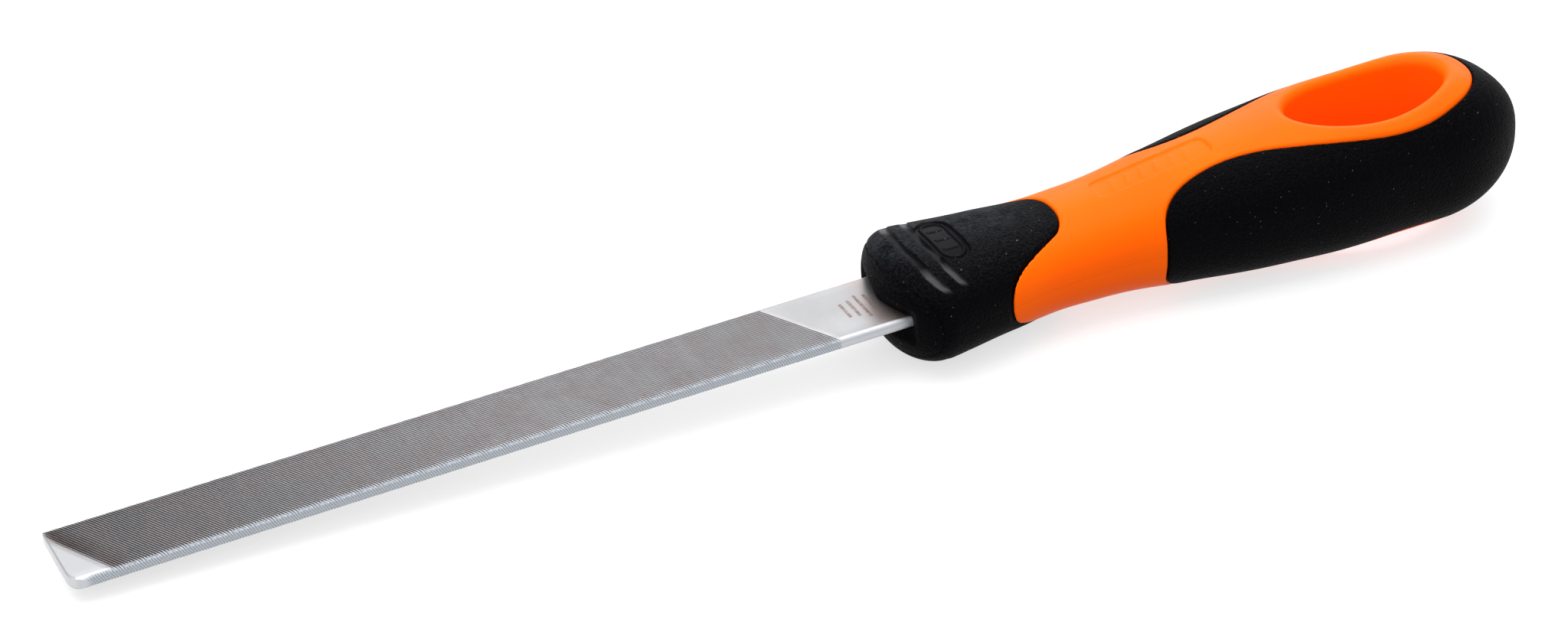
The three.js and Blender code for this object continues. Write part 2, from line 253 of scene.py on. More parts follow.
def front_seam():
    """Half of the front grip's rear edge, from outside the handle's side to the tongue's tip."""
    side, tip, half = COLLAR_SIDE_END, TONGUE_END, TONGUE_HALF
    corner = (side, COLLAR_SIDE_HALF)
    bend = (side, COLLAR_SIDE_HALF - COLLAR_BEND)
    shoulder = (tip - TONGUE_SHOULDER[0], half - TONGUE_SHOULDER[1])
    rounding = (tip - TONGUE_ROUND[0], half - TONGUE_ROUND[1])
    first = bezier(corner, bend, (tip - TONGUE_RUN, half + TONGUE_FLARE), shoulder)
    second = bezier(shoulder, rounding, (tip, TONGUE_TIP), (tip, 0))
    return np.vstack([[(side, FAR_OUT), corner], first, second])


def strip_seam():
    """Half of the free strip's edge, from outside the handle's side to the strip's round end."""
    neck_x, neck = STRIP_NECK
    wide_x, wide = STRIP_WIDE
    bend = STRIP_END_FULLNESS
    reach = (STRIP_END - wide_x) * bend
    corner = (REAR_START, neck + STRIP_MOUTH[0])
    narrowest, widest = (neck_x, neck), (wide_x, wide)
    mouth_bend = (REAR_START, neck + STRIP_MOUTH[1])
    first = bezier(corner, mouth_bend, (neck_x - NECK_EASE[0], neck), narrowest)
    second = bezier(narrowest, (neck_x + NECK_EASE[1], neck), (wide_x - WIDE_EASE, wide), widest)
    third = bezier(widest, (wide_x + reach, wide), (STRIP_END, wide * bend), (STRIP_END, 0))
    return np.vstack([[(REAR_START, FAR_OUT), corner], first, second, third])


def line_distance(x, y, line):
    """Distance in plan to a polyline."""
    line = np.array(line, float)
    nearest = np.full(np.shape(x), np.inf)
    for (ax, ay), (bx, by) in zip(line[:-1], line[1:]):
        dx, dy = bx - ax, by - ay
        t = np.clip(((x - ax) * dx + (y - ay) * dy) / (dx * dx + dy * dy), 0, 1)
        nearest = np.minimum(nearest, (x - ax - t * dx) ** 2 + (y - ay - t * dy) ** 2)
    return np.sqrt(nearest)


FRONT_SEAM = front_seam()
STRIP_SEAM = strip_seam()


def outside_front(x, y):
    """Distance in plan outside the front grip's zone, negative in it."""
    y = np.abs(y)
    seam_x = np.interp(y, FRONT_SEAM[::-1, 1], FRONT_SEAM[::-1, 0])
    return line_distance(x, y, FRONT_SEAM) * np.where(x > seam_x, 1, -1)


def outside_rear(x, y):
    """Distance in plan outside the rear grip's zone, negative in it."""
    y = np.abs(y)
    strip = np.interp(x, STRIP_SEAM[1:, 0], STRIP_SEAM[1:, 1], right=-1)
    free = (x < REAR_START) | (y < strip)
    return line_distance(x, y, STRIP_SEAM) * np.where(free, 1, -1)


# ------------------------------------------------------------------ closed shapes from a field


def smooth_step(low, high, value):
    """0 up to the low value, 1 from the high one on, and smooth between them."""
    t = np.clip((value - low) / (high - low), 0, 1)
    return t * t * (3 - 2 * t)


def both(a, b, radius):
    """Where both shapes are solid, with their shared edge rounded by a radius."""
    corner = np.sqrt(np.maximum(a + radius, 0) ** 2 + np.maximum(b + radius, 0) ** 2)
    return np.minimum(np.maximum(a, b), -radius) + corner


def surface_net(values):
    """Points, in cells, and four-sided faces of the surface where a field changes sign."""
    shape = np.array(values.shape) - 1
    quads, crossings = [], []
    for axis in range(3):
        low, high = [slice(None)] * 3, [slice(None)] * 3
        low[axis], high[axis] = slice(None, -1), slice(1, None)
        first, second = values[tuple(low)], values[tuple(high)]
        at = np.argwhere((first < 0) != (second < 0))   # grid edges that cross the surface
        a, b = first[tuple(at.T)], second[tuple(at.T)]
        point = at.astype(float)
        point[:, axis] += a / (a - b)
        side = [np.eye(3, dtype=int)[(axis + k) % 3] for k in (1, 2)]
        around = [at - side[0] - side[1], at - side[1], at, at - side[0]]   # cells round each
        quad = np.stack([np.ravel_multi_index(cell.T, shape) for cell in around], 1)
        quad[a > 0] = quad[a > 0][:, ::-1]
        quads.append(quad)
        crossings.append(point)
    quads, crossings = np.vstack(quads), np.vstack(crossings)
    # each cell on the surface gets one point, in the middle of the crossings round it
    cells, index = np.unique(quads, return_inverse=True)
    index = index.reshape(-1)
    count = np.bincount(index)
    spread = np.repeat(crossings, 4, axis=0)
    points = np.stack([np.bincount(index, spread[:, k]) / count for k in range(3)], 1)
    return points, index.reshape(-1, 4)


def field_slope(field, points):
    """Value and slope of a field at points."""
    step = 0.012
    slope = []
    for axis in range(3):
        shift = np.zeros(3)
        shift[axis] = step
        ahead, behind = field(*(points + shift).T), field(*(points - shift).T)
        slope.append((ahead - behind) / (2 * step))
    return field(*points.T), np.stack(slope, 1)


def mesh_of_field(field, low, high, cell):
    """A closed mesh of the shape where a field is negative, with exact normals."""
    axes = [np.arange(low[k], high[k] + cell, cell) for k in range(3)]
    x, y, z = np.meshgrid(*axes, indexing="ij", sparse=True)
    values = field(x, y, z)
    points, faces = surface_net(np.broadcast_to(values, [len(a) for a in axes]))
    points = points * cell + low
    for _ in range(3):      # moves them onto the surface
        value, slope = field_slope(field, points)
        steepness = np.maximum((slope ** 2).sum(1), 0.05)
        move = np.clip(value / steepness, -cell / 2, cell / 2)
        points = points - slope * move[:, None]
    slope = field_slope(field, points)[1]
    normals = slope / np.maximum(np.linalg.norm(slope, axis=1, keepdims=True), 1e-6)
    return points, faces, normals


def add_mesh(name, points, faces, normals, material):
    """A smooth-shaded object from points in mm from the tip."""
    places = np.asarray(points) * MM + (TIP_X, 0, 0)
    mesh = bpy.data.meshes.new(name)
    mesh.from_pydata(places.tolist(), [], [list(map(int, face)) for face in faces])
    mesh.polygons.foreach_set("use_smooth", [True] * len(mesh.polygons))
    mesh.normals_split_custom_set_from_vertices(normals.tolist())
    mesh.materials.append(material)
    made = bpy.data.objects.new(name, mesh)
    bpy.context.scene.collection.objects.link(made)
    return made


def place(made, node, slot):
    """Ties a piece to the frame: it rides on the only body and stands for one CAD node."""
    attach(made, "root")
    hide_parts(node)


# ------------------------------------------------------------------ handle pieces


def blade_room(x, y, z, flare=0.0):
    """Distance outside the room that the blade and its tang take up, widened all round by flare."""
    scale = np.interp(x, [HEEL_END, SHOULDER_END, TANG_END], [1, TANG_ROOT_SCALE, TANG_END_SCALE])
    across = np.abs(y) - BLADE_HALF * scale - SLOT_CLEARANCE - flare
    up = np.abs(z) - BLADE_HALF_THICK - SLOT_CLEARANCE - flare
    return np.maximum(both(across, up, SLOT_CORNER), x - TANG_END - SLOT_CLEARANCE)


def groove_places(x, y, line):
    """X from a finger groove's line, and how fully the groove is there."""
    middle, reach = np.array(line).T
    y = np.abs(y)
    fade = smooth_step(reach[-1] - GROOVE_FADE[0], reach[-1] + GROOVE_FADE[1], y)
    return x - np.interp(y, reach, middle), 1 - fade


def groove_relief(x, y, line):
    """A finger groove: its floor slopes down gently and ends at a steep wall."""
    from_line, there = groove_places(x, y, line)
    ramp = np.clip((from_line - GROOVE_RAMP[0]) / (GROOVE_RAMP[1] - GROOVE_RAMP[0]), 0, 1)
    wall = 1 - smooth_step(GROOVE_RAMP[1], GROOVE_WALL, from_line)
    return GROOVE_DEPTH * ramp * wall * there


def from_badge(x, y):
    """Distance in plan from the badge's middle line, round which its outlines run."""
    return np.hypot(x - BADGE_X, np.maximum(np.abs(y) - BADGE_HALF + BADGE_RADIUS, 0))


def badge_relief(x, y):
    """A sunk oval with a raised rim round a field with plain ribs."""
    away = from_badge(x, y)
    relief = 0
    for radius, depth in BADGE_STEPS:
        edge = smooth_step(radius - BADGE_STEP_WIDTH, radius + BADGE_STEP_WIDTH, away)
        relief = relief + depth * (1 - edge)
    for rib in BADGE_RIBS:
        from_rib = np.hypot(np.maximum(np.abs(x - BADGE_X) - BADGE_RIB_REACH, 0), y - rib)
        edge = smooth_step(BADGE_RIB_FLAT, 1.0, from_rib / BADGE_RIB_HALF)
        relief = relief - BADGE_RIB_RISE * (1 - edge)
    return relief


def front_relief(x, y):
    """How far the collar's surface lies below the plain shape."""
    crease = np.clip(1 - line_distance(x, np.abs(y), CREASE) / CREASE_HALF, 0, 1)
    grooves = sum(groove_relief(x, y, line) for line in GROOVES)
    return grooves + CREASE_DEPTH * smooth_step(0, 1, crease) + badge_relief(x, y)


def polish(x, y):
    """1 on the smooth floors of the finger grooves and in the badge, 0 on the grained skin."""
    smooth = 1 - smooth_step(BADGE_RADIUS, BADGE_RADIUS + BADGE_POLISH, from_badge(x, y))
    for line in GROOVES:
        from_line, there = groove_places(x, y, line)
        start = GROOVE_RAMP[0]
        inside = smooth_step(start + GROOVE_POLISH[0], start + GROOVE_POLISH[1], from_line)
        inside = inside * (1 - smooth_step(GROOVE_RAMP[1], GROOVE_WALL, from_line))
        smooth = np.maximum(smooth, inside * smooth_step(0, 0.9, there))
    return smooth


def grip_depth(x):
    """How thick the grips are, which is more at the nose."""
    extra = 1 - smooth_step(NOSE_DEPTH[0], NOSE_DEPTH[1], x - HANDLE_FRONT)
    return GRIP_THICKNESS + NOSE_EXTRA * extra


def front_grip_field(x, y, z):
    """The collar: a shell with the slot for the blade, whose mouth flares near the skin."""
    plain = skin_distance(x, y, z)
    edge = outside_front(x, y) + SEAM_GAP
    skin = both(plain + front_relief(x, y), edge, GRIP_EDGE_ROUND)
    shell = np.maximum(skin, -plain - grip_depth(x))
    flare = np.clip(MOUTH_FLARE + plain, 0, 2 * MOUTH_FLARE)
    return both(shell, -blade_room(x, y, z, flare), MOUTH_ROUND)


def rear_grip_field(x, y, z):
    """The palm grip: a shell round the sides and the end, which leaves the strips free."""
    skin = skin_distance(x, y, z)
    edge = outside_rear(x, y) + SEAM_GAP
    return np.maximum(both(skin, edge, GRIP_EDGE_ROUND), -skin - GRIP_THICKNESS)


def panel_relief(x, y):
    """A shallow panel sunk into the free strip, with a row of plain slanted ribs."""
    over_x = np.maximum(np.abs(x - PANEL_MIDDLE) - PANEL_SIZE[0] + PANEL_CORNER, 0)
    over_y = np.maximum(np.abs(y) - PANEL_SIZE[1] + PANEL_CORNER, 0)
    outside = np.hypot(over_x, over_y) - PANEL_CORNER
    relief = PANEL_DEPTH * (1 - smooth_step(-PANEL_WALL, PANEL_WALL, outside))
    for rib in PANEL_RIBS:
        past_end = np.maximum(np.abs(y) - PANEL_RIB_REACH, 0)
        from_rib = np.hypot(x - rib - PANEL_RIB_LEAN * y, past_end)
        relief = relief - PANEL_RIB_RISE * (1 - smooth_step(*PANEL_RIB_EDGE, from_rib))
    return relief


def inside_hole(x, y):
    """Distance in plan inside the hanging hole's oval, negative outside, true near its edge."""
    reach = np.sqrt(((x - HOLE_X) / HOLE_HALF_LENGTH) ** 2 + (y / HOLE_HALF_WIDTH) ** 2)
    slope_x = (x - HOLE_X) / HOLE_HALF_LENGTH ** 2
    slope_y = y / HOLE_HALF_WIDTH ** 2
    steepness = np.maximum(np.hypot(slope_x, slope_y), 0.02)
    return (1 - reach) * reach / steepness


def core_field(x, y, z):
    """The core comes to the skin where it is free, and lies under the grips elsewhere."""
    skin = skin_distance(x, y, z)
    free = np.minimum(outside_front(x, y), outside_rear(x, y)) - SEAM_GAP
    under = skin + grip_depth(x) + 2 * SEAM_GAP
    outer = both(skin + panel_relief(x, y), -free, CORE_EDGE_ROUND)
    solid = both(np.minimum(outer, under), inside_hole(x, y), HOLE_LIP)
    return np.maximum(solid, -blade_room(x, y, z))


def make_piece(name, field, look, start, end, cell):
    """Meshes a field between two places along the file, and gives the object and its points."""
    half_width = (cad_high.y - cad_low.y) / 2 / MM + GRID_MARGIN
    half_height = (cad_high.z - cad_low.z) / 2 / MM + GRID_MARGIN
    low = (start - GRID_MARGIN, -half_width, -half_height)
    high = (end + GRID_MARGIN, half_width, half_height)
    points, faces, normals = mesh_of_field(field, low, high, cell)
    return add_mesh(name, points, faces, normals, look), points


def make_handle(core_look, grip_look):
    core, _ = make_piece("core", core_field, core_look, HANDLE_FRONT, HANDLE_END, CORE_CELL)
    place(core, "handle_core", "core_plastic")
    collar, points = make_piece(
        "collar", front_grip_field, grip_look, HANDLE_FRONT, TONGUE_END, COLLAR_CELL)
    place(collar, "front_grip", "grip_rubber")
    values = collar.data.attributes.new("polish", "FLOAT", "POINT")
    values.data.foreach_set("value", polish(points[:, 0], points[:, 1]).astype(np.float32))
    palm, _ = make_piece("palm_grip", rear_grip_field, grip_look, REAR_START, HANDLE_END, PALM_CELL)
    place(palm, "rear_grip", "grip_rubber")


# ------------------------------------------------------------------ blade

ROW_PHASES = [0.0, TOOTH_RISE, 0.36, 0.62, 0.86]    # rows of one tooth, from its gullet on
EDGE_STEPS = 7              # faces round each quarter of the blade's rounded edges
FLAT_STEPS = 8              # faces across each cut face
SEAM_HEIGHT = 0.08          # height of the strip that joins the two halves along each edge
SPARE_ROWS = 3              # teeth before the tip, so that its end is cut from a full blade
HEEL_ROW_PITCH = 2.0
FACE_TURN = (0.55, 0.95)    # upward part of the normal over which the face's teeth come in,
EDGE_TURN = (0.75, 1.0)     # and over which the edge's teeth go out
CORNER_FACETS = (6, 3)      # flat cuts that round the tip's near and far corner
TIP_REGION = TIP_CORNER_NEAR + 3    # X up to which the tip's cuts reach
SHARP_ANGLE = math.radians(32)


def saw(phase, rise):
    """Tooth profile: 0 in the gullet and 1 at the crest, which is nearer to the tip."""
    p = phase % 1.0
    return np.where(p < rise, p / rise, 1 - (p - rise) / (1 - rise))


def half_columns():
    """Y, Z, and how much of face and edge teeth each column of the blade's half has."""
    turn = np.linspace(0, math.pi / 2, EDGE_STEPS + 1)
    centre_z = BLADE_HALF_THICK - EDGE_ROUND
    y = np.concatenate([[-BLADE_HALF], -BLADE_HALF + EDGE_ROUND * (1 - np.cos(turn))])
    z = np.concatenate([[SEAM_HEIGHT / 2], centre_z + EDGE_ROUND * np.sin(turn)])
    up = np.concatenate([[0], np.sin(turn)])
    flat = np.linspace(y[-1], -y[-1], FLAT_STEPS + 1)[1:-1]
    level = np.full(len(flat), BLADE_HALF_THICK)
    y = np.concatenate([y, flat, -y[::-1]])
    z = np.concatenate([z, level, z[::-1]])
    up = np.concatenate([up, np.ones(len(flat)), up[::-1]])
    return y, z, up


def half_rows():
    """Places of the rows along the tooth lines' own axis."""
    reach = TOOTH_SLANT * BLADE_HALF
    first = math.floor(-(reach + FIRST_TOOTH) / TOOTH_PITCH) - SPARE_ROWS
    last = math.ceil((EDGE_TEETH_END + reach - FIRST_TOOTH) / TOOTH_PITCH)
    teeth = [FIRST_TOOTH + TOOTH_PITCH * (k + p) for k in range(first, last) for p in ROW_PHASES]
    heel = np.arange(teeth[-1] + HEEL_STEP, HEEL_END - HEEL_ROW_PITCH / 2, HEEL_ROW_PITCH)
    return np.concatenate([teeth, heel, [HEEL_END, SHOULDER_END, TANG_END]])


def face_teeth(s, x, up):
    """How deep the face's teeth go below the plain blade."""
    tooth = (s - FIRST_TOOTH) / TOOTH_PITCH
    last = (LAST_TOOTH - FIRST_TOOTH) / TOOTH_PITCH
    cut = smooth_step(0, TOOTH_FADE, tooth) * (1 - smooth_step(last - 1, last, tooth))
    cut = cut * smooth_step(0, 1, x)
    return TOOTH_DEPTH * (1 - saw(tooth, TOOTH_RISE)) * cut * smooth_step(*FACE_TURN, up)


def edge_teeth(x, y, z, up):
    """How deep the edge's teeth go into the plain blade."""
    lean = np.where(y < 0, 1, -1) * EDGE_LEAN
    start, end = EDGE_TEETH_START, EDGE_TEETH_END
    cut = smooth_step(start, start + EDGE_TEETH_FADE[0], x)
    cut = cut * (1 - smooth_step(end - EDGE_TEETH_FADE[1], end, x))
    tooth = (x + lean * z) / EDGE_PITCH
    return EDGE_DEPTH * (1 - saw(tooth, EDGE_RISE)) * cut * (1 - smooth_step(*EDGE_TURN, up))


def blade_half():
    """The upper half of the blade as a grid of points, rows by columns."""
    s = half_rows()[:, None]
    y, z, up = half_columns()
    slanted = 1 - smooth_step(EDGE_TEETH_END + TOOTH_SLANT * BLADE_HALF, HEEL_END, s)
    x = s - TOOTH_SLANT * y * slanted
    depth = face_teeth(s, x, up) + edge_teeth(x, y, z, up)
    drop = HEEL_DROP * smooth_step(LAST_TOOTH, LAST_TOOTH + HEEL_STEP, s) * up
    scale = np.interp(s, [HEEL_END, SHOULDER_END, TANG_END], [1, TANG_ROOT_SCALE, TANG_END_SCALE])
    side = np.sign(y) * np.sqrt(np.maximum(1 - up ** 2, 0))
    out_y = (y - depth * side) * scale
    out_z = z - depth * up - drop
    return np.stack([x, out_y, np.broadcast_to(out_z, x.shape)], -1)


def grid_faces(rows, columns, start):
    """Four-sided faces of a grid whose points run row by row."""
    i, j = np.meshgrid(np.arange(rows - 1), np.arange(columns - 1), indexing="ij")
    a = start + i * columns + j
    return np.stack([a, a + columns, a + columns + 1, a + 1], -1).reshape(-1, 4).tolist()


def zip_faces(points, left, right):
    """Triangles between two rows of points that both run along X."""
    faces = []
    i = j = 0
    while i < len(left) - 1 or j < len(right) - 1:
        left_next = points[left[i + 1]][0] if i < len(left) - 1 else math.inf
        right_next = points[right[j + 1]][0] if j < len(right) - 1 else math.inf
        if left_next <= right_next:
            faces.append([left[i], left[i + 1], right[j]])
            i += 1
        else:
            faces.append([left[i], right[j + 1], right[j]])
            j += 1
    return faces


def cut_away(mesh_data, point, direction):
    """Cuts off the side of a plane that a direction points to near the tip, and closes the cut."""
    near = [v for v in mesh_data.verts if v.co.x < TIP_REGION]
    chosen = dict.fromkeys(near)    # a dict keeps its order, so that each run cuts in the same one
    for vertex in near:
        chosen.update(dict.fromkeys(vertex.link_edges))
        chosen.update(dict.fromkeys(vertex.link_faces))
    bmesh.ops.bisect_plane(mesh_data, geom=list(chosen), dist=1e-5, plane_co=point,
                           plane_no=direction, clear_outer=True)
    bmesh.ops.holes_fill(mesh_data, edges=[e for e in mesh_data.edges if e.is_boundary], sides=0)


def trim(mesh_data, centre, reach, direction):
    """Cuts one facet of the tip's outline, and bevels its upper and lower edges."""
    cut_away(mesh_data, centre + direction * reach, direction)
    for up in (1, -1):
        edge = centre + direction * (reach - TIP_BEVEL) + Vector((0, 0, up * BLADE_HALF_THICK))
        cut_away(mesh_data, edge, (direction + Vector((0, 0, up * TIP_BEVEL_LEAN))).normalized())


def round_corner(mesh_data, side, radius, steps):
    """Rounds one corner of the tip seen from above with a fan of flat cuts."""
    centre = Vector((radius, side * (BLADE_HALF - radius), 0))
    for k in range(steps):
        turn = (k + 0.5) / steps * math.pi / 2
        direction = Vector((-math.cos(turn), side * math.sin(turn), 0))
        trim(mesh_data, centre, radius * math.cos(math.pi / 4 / steps), direction)


def blade_faces():
    """Points and faces of the blade before its tip is shaped: two halves zipped along the edges."""
    upper = blade_half()
    rows, columns = upper.shape[:2]
    points = np.vstack([upper.reshape(-1, 3), upper.reshape(-1, 3) * (1, -1, -1)])
    count = rows * columns
    faces = grid_faces(rows, columns, 0) + grid_faces(rows, columns, count)
    first = (np.arange(rows) * columns).tolist()
    last = (np.arange(rows) * columns + columns - 1).tolist()
    lower_first = [k + count for k in first]
    lower_last = [k + count for k in last]
    faces += zip_faces(points, lower_last, first)
    faces += zip_faces(points, last, lower_first)
    end = [(rows - 1) * columns + k for k in range(columns)]
    faces.append(end + [k + count for k in end])
    return points, faces


def make_blade(look):
    points, faces = blade_faces()
    shape = bpy.data.meshes.new("blade_shape")
    shape.from_pydata(points.tolist(), [], faces)
    cutter = bmesh.new()
    cutter.from_mesh(shape)
    trim(cutter, Vector((0, 0, 0)), 0, Vector((-1, 0, 0)))
    round_corner(cutter, -1, TIP_CORNER_NEAR, CORNER_FACETS[0])
    round_corner(cutter, 1, TIP_CORNER_FAR, CORNER_FACETS[1])
    bmesh.ops.recalc_face_normals(cutter, faces=cutter.faces)
    cutter.transform(Matrix.Translation((TIP_X, 0, 0)) @ Matrix.Scale(MM, 4))
    mesh = bpy.data.meshes.new("blade")
    cutter.to_mesh(mesh)
    cutter.free()
    mesh.polygons.foreach_set("use_smooth", [True] * len(mesh.polygons))
    mesh.set_sharp_from_angle(angle=SHARP_ANGLE)
    mesh.materials.append(look)
    made = bpy.data.objects.new("blade", mesh)
    bpy.context.scene.collection.objects.link(made)
    place(made, "file_blade", "blade_steel")


# ------------------------------------------------------------------ materials


class Look:
    """A material with a principled shader, and short calls to add nodes to it."""

    def __init__(self, name):
        self.material = bpy.data.materials.new(name)
        self.material.use_nodes = True
        self.nodes = self.material.node_tree.nodes
        self.links = self.material.node_tree.links
        self.shader = self.nodes["Principled BSDF"]
        self.place = self.nodes.new("ShaderNodeTexCoord").outputs["Object"]

    def feed(self, socket, value):
        """Links a socket to another, or sets it to a value."""
        if isinstance(value, bpy.types.NodeSocket):
            self.links.new(value, socket)
        else:
            socket.default_value = value

    def math(self, operation, a, b=0.0, c=0.0):
        """One sum on sockets or numbers."""
        node = self.nodes.new("ShaderNodeMath")
        node.operation = operation
        for socket, value in zip(node.inputs, (a, b, c)):
            self.feed(socket, value)
        return node.outputs[0]

    def times(self, first, *others):
        """The product of sockets or numbers."""
        for other in others:
            first = self.math("MULTIPLY", first, other)
        return first

    def noise(self, scale, detail=3.0, roughness=0.55, stretch=(1, 1, 1)):
        """Noise from 0 to 1 with features about 1/scale metres across."""
        mapping = self.nodes.new("ShaderNodeMapping")
        mapping.inputs["Scale"].default_value = stretch
        self.links.new(self.place, mapping.inputs["Vector"])
        node = self.nodes.new("ShaderNodeTexNoise")
        node.inputs["Scale"].default_value = scale
        node.inputs["Detail"].default_value = detail
        node.inputs["Roughness"].default_value = roughness
        self.links.new(mapping.outputs["Vector"], node.inputs["Vector"])
        return node.outputs["Fac"]

    def cells(self, scale):
        """Distance to the nearest of points scattered about 1/scale metres apart."""
        node = self.nodes.new("ShaderNodeTexVoronoi")
        node.inputs["Scale"].default_value = scale
        self.links.new(self.place, node.inputs["Vector"])
        return node.outputs["Distance"]

    def span(self, value, low, high, to_low=0.0, to_high=1.0, smooth=False):
        """Maps a range of values to another range."""
        node = self.nodes.new("ShaderNodeMapRange")
        node.interpolation_type = "SMOOTHSTEP" if smooth else "LINEAR"
        self.feed(node.inputs["Value"], value)
        node.inputs["From Min"].default_value = low
        node.inputs["From Max"].default_value = high
        node.inputs["To Min"].default_value = to_low
        node.inputs["To Max"].default_value = to_high
        return node.outputs["Result"]

    def blend(self, part, first, second):
        """A colour that goes from the first to the second."""
        node = self.nodes.new("ShaderNodeMix")
        node.data_type = "RGBA"
        self.feed(node.inputs["Factor"], part)
        for name, value in (("A", first), ("B", second)):
            socket = next(s for s in node.inputs if s.name == name and s.type == "RGBA")
            self.feed(socket, value)
        return next(s for s in node.outputs if s.type == "RGBA")

    def bump(self, height, distance, strength=1.0, below=None):
        """A normal bent by a height that is as tall as the distance, in metres."""
        node = self.nodes.new("ShaderNodeBump")
        node.inputs["Strength"].default_value = strength
        node.inputs["Distance"].default_value = distance
        self.links.new(height, node.inputs["Height"])
        if below is not None:
            self.links.new(below, node.inputs["Normal"])
        return node.outputs["Normal"]

    def position(self):
        """X, Y and Z in mm, X from the blade's tip."""
        node = self.nodes.new("ShaderNodeSeparateXYZ")
        self.links.new(self.place, node.inputs[0])
        x = self.times(self.math("SUBTRACT", node.outputs[0], TIP_X), 1 / MM)
        return x, self.times(node.outputs[1], 1 / MM), self.times(node.outputs[2], 1 / MM)

    def finish(self, colour, roughness, normal, **constants):
        """Feeds the shader, whose other inputs are set to constants, and gives the material."""
        self.feed(self.shader.inputs["Base Color"], colour)
        self.feed(self.shader.inputs["Roughness"], roughness)
        self.links.new(normal, self.shader.inputs["Normal"])
        for name, value in constants.items():
            self.shader.inputs[name.replace("_", " ")].default_value = value
        return self.material


# colours, as linear red, green and blue, and alpha
CREST = (0.47, 0.465, 0.475, 1)             # teeth of the cut faces; their gullet colours are painted shade
# painted shade in the gullets between the cut faces' teeth
GULLET_PAINTED_SHADE = (0.20, 0.195, 0.20, 1)
CREST_AT_TIP = (0.27, 0.265, 0.27, 1)
GULLET_PAINTED_SHADE_AT_TIP = (0.06, 0.057, 0.057, 1)
CREST_STAIN = (0.40, 0.34, 0.34, 1)
TIP_STAIN = (0.12, 0.095, 0.09, 1)
PLAIN_DARK = (0.285, 0.285, 0.29, 1)        # plain parts of the faces
PLAIN_LIGHT = (0.35, 0.35, 0.355, 1)
# painted light: the plain tip corner is much lighter than the plain heel
PLAIN_AT_TIP_PAINTED_LIGHT = (0.62, 0.62, 0.63, 1)
HEEL_TINT = (0.30, 0.22, 0.20, 1)
ETCHED = (0.20, 0.115, 0.10, 1)
EDGE_PLAIN = (0.50, 0.51, 0.53, 1)
EDGE_CREST = (0.44, 0.465, 0.50, 1)
# painted shade in the gullets between the edges' teeth
EDGE_GULLET_PAINTED_SHADE = (0.25, 0.27, 0.295, 1)
ORANGE_DARK = (1.0, 0.108, 0.0, 1)
ORANGE_LIGHT = (1.0, 0.126, 0.0, 1)
MOULD_LINE = (0.45, 0.035, 0.002, 1)
GRAIN_HOLLOW_PAINTED_SHADE = (0.0004, 0.0004, 0.0007, 1)  # rubber; painted shade in the grain's hollows, then shaded and lit copies of its crests
GRAIN_CREST_IN_PAINTED_SHADE = (0.0016, 0.0017, 0.0026, 1)
GRAIN_CREST_IN_PAINTED_LIGHT = (0.010, 0.010, 0.012, 1)
# dust with painted sheen on the collar's top, towards the far side
DUST_AND_SHEEN = (0.040, 0.045, 0.052, 1)
GROOVE_FLOOR_DARK = (0.004, 0.004, 0.005, 1)      # floors of the finger grooves and the badge; the next colour is a painted highlight on them
GROOVE_FLOOR_PAINTED_HIGHLIGHT = (0.058, 0.056, 0.057, 1)
SPECK = (0.12, 0.12, 0.13, 1)

# where they change, in mm
TIP_DARKENING = (5, 80)     # X
TIP_STAINING = (3, 8)       # along the tooth lines' own axis
TIP_LIGHTENING = (6, 9)     # X, over which the tip corner's painted light fades out
HEEL_TINTING = (139, 144)   # X
EDGE_SIDE = (0.9, 0.55)     # in from the blade's half width
CUT_HEIGHT = (0.4, 0.25)    # down from the cut face
CUT_BEGIN = (0.3, 1.6)      # before and after the first tooth line
CUT_END = (0.2, 0.3)        # before and after the last one
TIP_EDGE = (0.1, 0.4)       # X
COLLAR_LIT = (176, 192)     # X, over which the collar's painted light fades
COLLAR_DUST_AND_SHEEN = (170, 178)   # X, over which the dust and painted sheen fade
HEIGHT_LIT = (0, 9)         # Z, counted with the lean to the far side, over which the grain's painted light comes in
# Z with the lean, over which the collar's dust and painted sheen come in
HEIGHT_DUST_AND_SHEEN = (6.5, 12.5)
FAR_SIDE_LEAN = 0.35        # height per mm of Y, so that the painted light and sheen lean to the far side
GROOVE_HIGHLIGHT_REACH = (6, 8.5)       # |Y|, over which the groove floors' painted highlight comes in
MOULD_LINE_HALF = 0.09
SHADE_BEFORE = (0.45, 0.95)     # parts of a tooth's pitch, before its gullet and after it
SHADE_AFTER = (0.0, 0.12)

ETCH_START = 138.6          # X of the first etched bar on the heel
ETCH_PITCH = 1.6
ETCH_Y = -0.4
ETCH_HALF_LENGTHS = (2.2, 2.6, 3.6, 3.0)
ETCH_HALF_WIDTH = (0.22, 0.36)  # where a bar starts and ends to fade
ETCH_END_FADE = 0.15


def tooth_shade(look, place, pitch):
    """Painted shade: 1 in the gullets between teeth and 0 on their crests."""
    phase = look.math("FRACT", look.math("DIVIDE", place, pitch))
    before, after = look.span(phase, *SHADE_BEFORE), look.span(phase, *SHADE_AFTER, 1, 0)
    return look.math("MAXIMUM", before, after)


def cut_zone(look, line, x, z):
    """1 where the faces are cut, 0 on the plain tip corner, the heel and the edges."""
    begun = look.span(line, FIRST_TOOTH - CUT_BEGIN[0], FIRST_TOOTH + CUT_BEGIN[1])
    ended = look.span(line, LAST_TOOTH - CUT_END[0], LAST_TOOTH + CUT_END[1], 1, 0)
    low, high = BLADE_HALF_THICK - CUT_HEIGHT[0], BLADE_HALF_THICK - CUT_HEIGHT[1]
    on_face = look.span(look.math("ABSOLUTE", z), low, high)
    return look.times(begun, look.span(x, *TIP_EDGE), ended, on_face)


